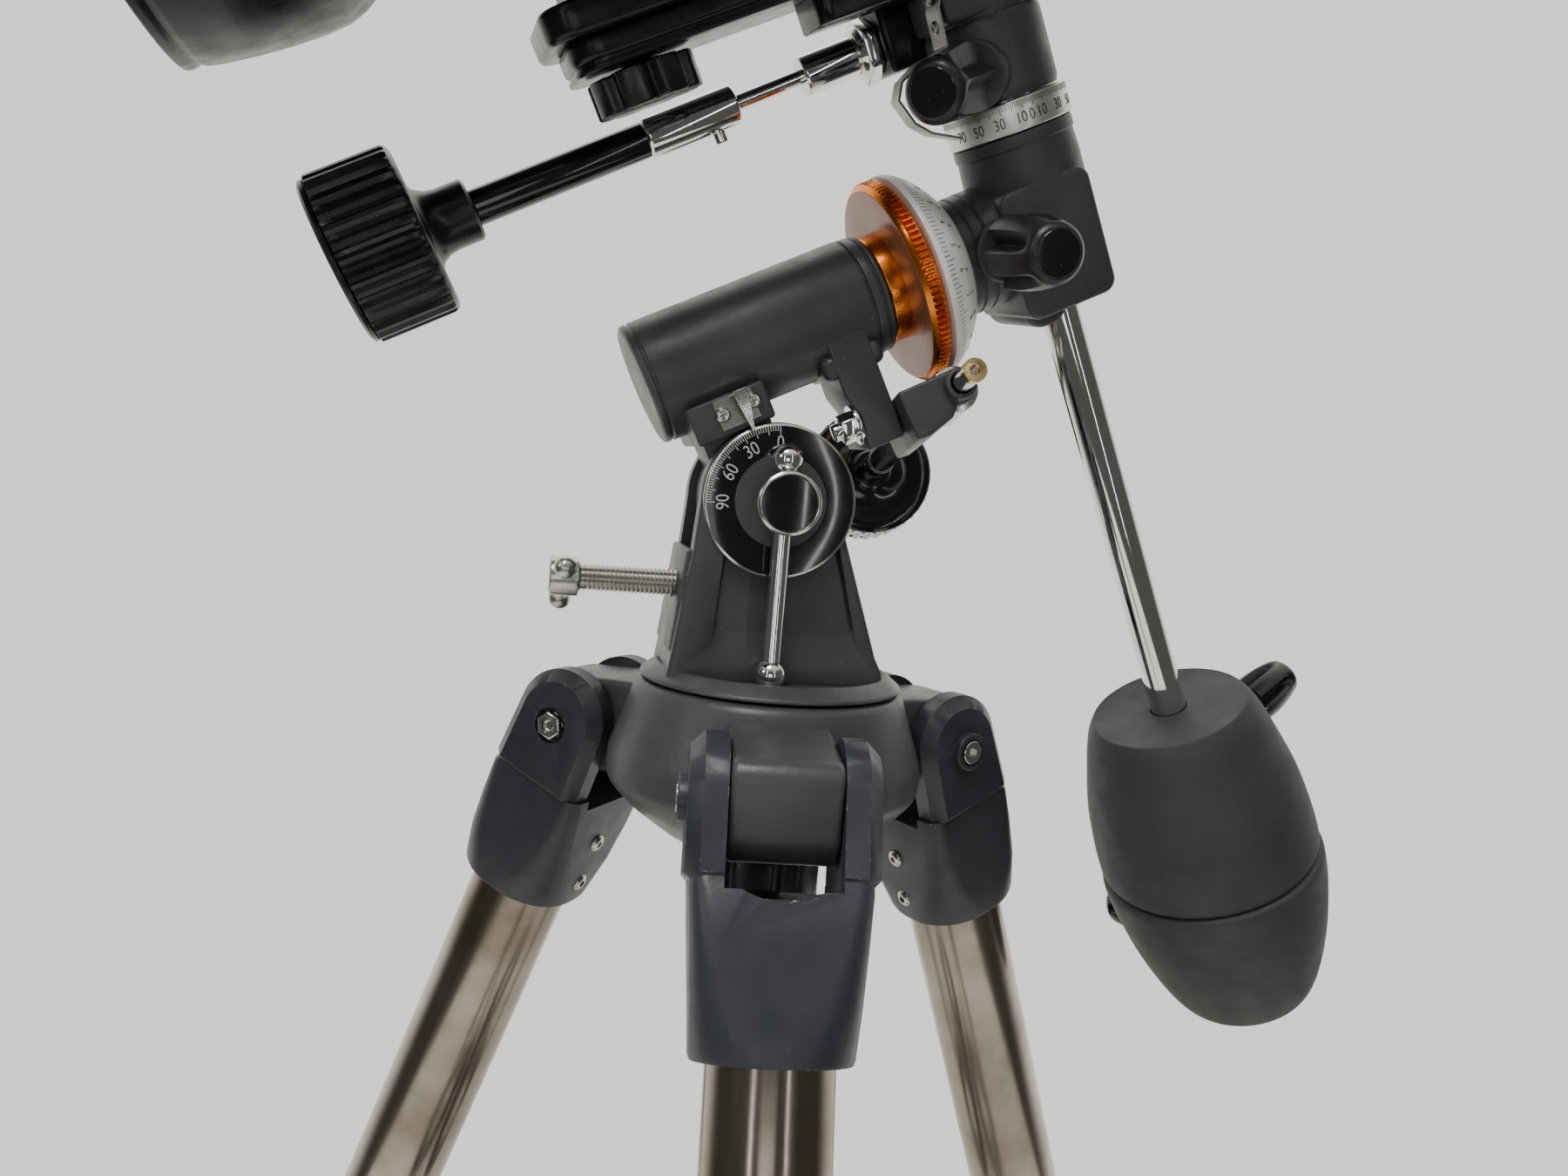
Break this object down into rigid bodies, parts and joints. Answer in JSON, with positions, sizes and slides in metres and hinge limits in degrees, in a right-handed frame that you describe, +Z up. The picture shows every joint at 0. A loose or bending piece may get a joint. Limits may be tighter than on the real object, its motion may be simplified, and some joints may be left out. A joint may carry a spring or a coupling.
{
  "type": "newtonian reflector telescope",
  "caption": "Newtonian reflector tube in rings on a German equatorial mount with counterweights and slow-motion cables, on a folding steel tripod with a tray.",
  "frame": {"origin": "on the floor, under the centre of the whole telescope's bounding box", "axes": "+Z up; the polar axis points up toward +X, 13 degrees round toward +Y; one tripod leg points toward -Y"},
  "size_m": [0.7051, 0.5735, 1.3023],
  "materials": {
    "mount_paint": "charcoal grey paint with a fine orange-peel texture and small chips",
    "leg_paint": "dark blue-black satin paint on castings",
    "steel": "polished stainless steel tube",
    "chrome": "bright chrome plate",
    "zinc": "zinc-plated thread",
    "gloss_black": "glossy black",
    "saddle_black": "gloss black paint on aluminium",
    "black_plastic": "moulded black plastic, semi-gloss",
    "flex_cable": "ribbed black sleeve over a wound steel cable",
    "weight_iron": "matt grey-black coating on cast iron",
    "orange_anodised": "orange anodised, toothed edge",
    "silver_satin": "satin silver with black ticks",
    "tube_paint": "gloss blue-black paint",
    "cast_paint": "satin black paint on cast aluminium",
    "mirror_glass": "aluminised glass"
  },
  "bodies": {
    "tripod_head": {"tripod_head": "mount_paint"},
    "azimuth_knob": {"azimuth_knob": "black_plastic"},
    "leg_front": {"leg_socket_front": "leg_paint", "upper_leg_front": "steel", "leg_clamp_front": "black_plastic"},
    "lower_leg_front": {"lower_leg_front": "steel"},
    "spreader_front": {"spreader_arm_front": "steel"},
    "leg_right": {"leg_socket_right": "leg_paint", "upper_leg_right": "steel", "leg_clamp_right": "black_plastic"},
    "lower_leg_right": {"lower_leg_right": "steel"},
    "spreader_right": {"spreader_arm_right": "steel"},
    "leg_left": {"leg_socket_left": "leg_paint", "upper_leg_left": "steel", "leg_clamp_left": "black_plastic"},
    "lower_leg_left": {"lower_leg_left": "steel"},
    "spreader_left": {"spreader_arm_left": "steel"},
    "accessory_tray": {"accessory_tray": "black_plastic"},
    "mount_base": {"mount_base": "mount_paint", "latitude_dial": "gloss_black"},
    "latitude_lock": {"latitude_lock": "chrome"},
    "latitude_lock_bar": {"latitude_lock_bar": "chrome"},
    "latitude_bolt": {"latitude_bolt": "zinc"},
    "ra_housing": {"ra_housing": "mount_paint", "worm_bracket": "mount_paint"},
    "ra_gear": {"ra_gear": "orange_anodised"},
    "ra_knob": {"ra_worm": "steel", "ra_flex_shaft": "flex_cable", "ra_knob": "black_plastic"},
    "ra_dial": {"ra_dial": "silver_satin"},
    "polar_head": {"junction_block": "mount_paint", "counterweight_bar": "chrome"},
    "ra_lock_knob": {"ra_lock_knob": "black_plastic"},
    "dec_dial": {"dec_dial": "silver_satin"},
    "counterweight_upper": {"counterweight_upper": "weight_iron"},
    "counterweight_lower": {"counterweight_lower": "weight_iron"},
    "weight_knob_upper": {"weight_knob_upper": "black_plastic"},
    "weight_knob_lower": {"weight_knob_lower": "black_plastic"},
    "dec_head": {"dec_head": "mount_paint", "dec_shaft": "steel", "dec_worm_block": "mount_paint", "dec_flex_shaft": "flex_cable", "saddle_plate": "saddle_black", "tube_ring_rear": "cast_paint", "tube_ring_front": "cast_paint"},
    "dec_lock_knob": {"dec_lock_knob": "black_plastic"},
    "dec_worm": {"dec_worm": "steel"},
    "dec_knob": {"dec_knob": "black_plastic"},
    "ring_nut_rear": {"ring_nut_rear": "black_plastic"},
    "ring_nut_front": {"ring_nut_front": "black_plastic"},
    "tube": {"tube": "tube_paint", "rear_cell": "cast_paint", "primary_mirror": "mirror_glass", "spider": "cast_paint", "secondary_mirror": "mirror_glass", "focuser_body": "cast_paint", "finder": "tube_paint"},
    "drawtube": {"drawtube": "chrome"},
    "focus_knobs": {"focus_knobs": "black_plastic"},
    "eyepiece": {"eyepiece": "black_plastic"}
  },
  "joints": [
    {"name": "azimuth_knob_turn", "type": "hinge", "parent": "tripod_head", "child": "azimuth_knob", "pos_m": [-0.0238, 0.0705, 0.70634], "axis": [0, 0, 1], "continuous": true},
    {"name": "leg_front_fold", "type": "hinge", "parent": "tripod_head", "child": "leg_front", "pos_m": [-0.01764, 0.00941, 0.70634], "axis": [0.995, 0.1004, 0], "range_deg": [0, 18.66]},
    {"name": "leg_front_extend", "type": "slide", "parent": "leg_front", "child": "lower_leg_front", "axis": [0.037, -0.3672, -0.9294], "range_m": [0, 0.35]},
    {"name": "spreader_front_swing", "type": "hinge", "parent": "leg_front", "child": "spreader_front", "pos_m": [-0.00506, -0.11529, 0.32572], "axis": [0.995, 0.1004, 0], "range_deg": [0, 41]},
    {"name": "leg_right_fold", "type": "hinge", "parent": "tripod_head", "child": "leg_right", "pos_m": [0.02602, 0.10638, 0.70634], "axis": [-0.5844, 0.8115, 0], "range_deg": [0, 18.66]},
    {"name": "leg_right_extend", "type": "slide", "parent": "leg_right", "child": "lower_leg_right", "axis": [0.2995, 0.2157, -0.9294], "range_m": [0, 0.35]},
    {"name": "spreader_right_swing", "type": "hinge", "parent": "leg_right", "child": "spreader_right", "pos_m": [0.12773, 0.17963, 0.32572], "axis": [-0.5844, 0.8115, 0], "range_deg": [0, 41]},
    {"name": "leg_left_fold", "type": "hinge", "parent": "tripod_head", "child": "leg_left", "pos_m": [-0.07979, 0.09571, 0.70634], "axis": [-0.4106, -0.9118, 0], "range_deg": [0, 18.66]},
    {"name": "leg_left_extend", "type": "slide", "parent": "leg_left", "child": "lower_leg_left", "axis": [-0.3366, 0.1515, -0.9294], "range_m": [0, 0.35]},
    {"name": "spreader_left_swing", "type": "hinge", "parent": "leg_left", "child": "spreader_left", "pos_m": [-0.19407, 0.14716, 0.32572], "axis": [-0.4106, -0.9118, 0], "range_deg": [0, 41]},
    {"name": "tray_lift", "type": "slide", "parent": "tripod_head", "child": "accessory_tray", "axis": [0, 0, 1], "range_m": [0, 0.0915]},
    {"name": "azimuth_turn", "type": "hinge", "parent": "tripod_head", "child": "mount_base", "pos_m": [-0.0238, 0.0705, 0.70634], "axis": [0, 0, 1], "continuous": true},
    {"name": "latitude_tilt", "type": "hinge", "parent": "mount_base", "child": "ra_housing", "pos_m": [-0.02897, 0.06931, 0.78084], "axis": [0.2244, -0.9745, 0], "range_deg": [-5, 35]},
    {"name": "latitude_lock_turn", "type": "hinge", "parent": "mount_base", "child": "latitude_lock", "pos_m": [-0.02897, 0.06931, 0.78084], "axis": [0.2244, -0.9745, 0], "range_deg": [0, 100]},
    {"name": "latitude_lock_bar_slide", "type": "slide", "parent": "latitude_lock", "child": "latitude_lock_bar", "axis": [0, 0, 1], "range_m": [0, 0.037]},
    {"name": "latitude_bolt_turn", "type": "hinge", "parent": "mount_base", "child": "latitude_bolt", "pos_m": [-0.02897, 0.06931, 0.75424], "axis": [0.9745, 0.2244, 0], "continuous": true},
    {"name": "ra_slow_turn", "type": "hinge", "parent": "ra_housing", "child": "ra_gear", "pos_m": [-0.04836, 0.06484, 0.81985], "axis": [0.868, 0.1999, 0.4545], "range_deg": [-15, 15]},
    {"name": "ra_knob_turn", "type": "hinge", "parent": "ra_housing", "child": "ra_knob", "pos_m": [0.02121, 0.07234, 0.81459], "axis": [0.1199, -0.9727, 0.1989], "range_deg": [-1500, 1500]},
    {"name": "ra_dial_turn", "type": "hinge", "parent": "ra_gear", "child": "ra_dial", "pos_m": [-0.04836, 0.06484, 0.81985], "axis": [0.868, 0.1999, 0.4545], "continuous": true},
    {"name": "ra_turn", "type": "hinge", "parent": "ra_gear", "child": "polar_head", "pos_m": [-0.04836, 0.06484, 0.81985], "axis": [0.868, 0.1999, 0.4545], "range_deg": [-60, 75]},
    {"name": "ra_lock_turn", "type": "hinge", "parent": "polar_head", "child": "ra_lock_knob", "pos_m": [0.02759, 0.08234, 0.85962], "axis": [0.2993, -0.941, -0.1577], "range_deg": [0, 90]},
    {"name": "dec_dial_turn", "type": "hinge", "parent": "polar_head", "child": "dec_dial", "pos_m": [0.04495, 0.08633, 0.86871], "axis": [-0.4067, -0.2388, 0.8818], "continuous": true},
    {"name": "counterweight_upper_slide", "type": "slide", "parent": "polar_head", "child": "counterweight_upper", "axis": [-0.4067, -0.2388, 0.8818], "range_m": [0, 0.125]},
    {"name": "counterweight_lower_slide", "type": "slide", "parent": "polar_head", "child": "counterweight_lower", "axis": [-0.4067, -0.2388, 0.8818], "range_m": [0, 0.125]},
    {"name": "weight_knob_upper_turn", "type": "hinge", "parent": "counterweight_upper", "child": "weight_knob_upper", "pos_m": [0.12303, 0.13218, 0.6994], "axis": [0.7183, 0.5129, 0.4701], "range_deg": [-360, 0]},
    {"name": "weight_knob_lower_turn", "type": "hinge", "parent": "counterweight_lower", "child": "weight_knob_lower", "pos_m": [0.1515, 0.1489, 0.63767], "axis": [-0.7312, 0.6637, -0.1575], "range_deg": [-360, 0]},
    {"name": "dec_turn", "type": "hinge", "parent": "polar_head", "child": "dec_head", "pos_m": [0.04495, 0.08633, 0.86871], "axis": [-0.4067, -0.2388, 0.8818], "continuous": true},
    {"name": "dec_lock_turn", "type": "hinge", "parent": "dec_head", "child": "dec_lock_knob", "pos_m": [0.02612, 0.07528, 0.90953], "axis": [-0.3981, -0.8224, -0.4063], "range_deg": [0, 90]},
    {"name": "dec_knob_turn", "type": "hinge", "parent": "dec_head", "child": "dec_knob", "pos_m": [-0.01408, 0.08384, 0.91282], "axis": [-0.8587, -0.1945, -0.474], "continuous": true},
    {"name": "dec_worm_turn", "type": "hinge", "parent": "dec_head", "child": "dec_worm", "pos_m": [0.01343, 0.09018, 0.92722], "axis": [-0.868, -0.1999, -0.4545], "continuous": true},
    {"name": "ring_nut_rear_turn", "type": "hinge", "parent": "dec_head", "child": "ring_nut_rear", "pos_m": [-0.04012, 0.06674, 0.82417], "axis": [-0.4067, -0.2388, 0.8818], "continuous": true},
    {"name": "ring_nut_front_turn", "type": "hinge", "parent": "dec_head", "child": "ring_nut_front", "pos_m": [0.13002, 0.10593, 0.91324], "axis": [-0.4067, -0.2388, 0.8818], "continuous": true},
    {"name": "tube_roll", "type": "hinge", "parent": "dec_head", "child": "tube", "pos_m": [-0.03707, 0.03817, 1.04657], "axis": [0.868, 0.1999, 0.4545], "continuous": true},
    {"name": "drawtube_slide", "type": "slide", "parent": "tube", "child": "drawtube", "axis": [-0.0432, -0.8814, 0.4703], "range_m": [-0.02, 0.02]},
    {"name": "focus_turn", "type": "hinge", "parent": "tube", "child": "focus_knobs", "pos_m": [0.19853, -0.00517, 1.22513], "axis": [0.4946, -0.4279, -0.7565], "range_deg": [-200, 200]},
    {"name": "eyepiece_slide", "type": "slide", "parent": "drawtube", "child": "eyepiece", "axis": [-0.0432, -0.8814, 0.4703], "range_m": [0, 0.03]}
  ],
  "couplings": [
    {"joint": "leg_right_fold", "follows": "leg_front_fold", "ratio": 1},
    {"joint": "leg_left_fold", "follows": "leg_front_fold", "ratio": 1},
    {"joint": "spreader_front_swing", "follows": "leg_front_fold", "ratio": 2.139},
    {"joint": "spreader_right_swing", "follows": "leg_front_fold", "ratio": 2.139},
    {"joint": "spreader_left_swing", "follows": "leg_front_fold", "ratio": 2.139},
    {"joint": "tray_lift", "follows": "leg_front_fold", "m_per_rad": 0.27749},
    {"joint": "ra_knob_turn", "follows": "ra_slow_turn", "ratio": 100},
    {"joint": "counterweight_lower_slide", "follows": "counterweight_upper_slide", "ratio": 1},
    {"joint": "dec_worm_turn", "follows": "dec_knob_turn", "ratio": 1},
    {"joint": "focus_turn", "follows": "drawtube_slide", "rad_per_m": 166.67}
  ]
}
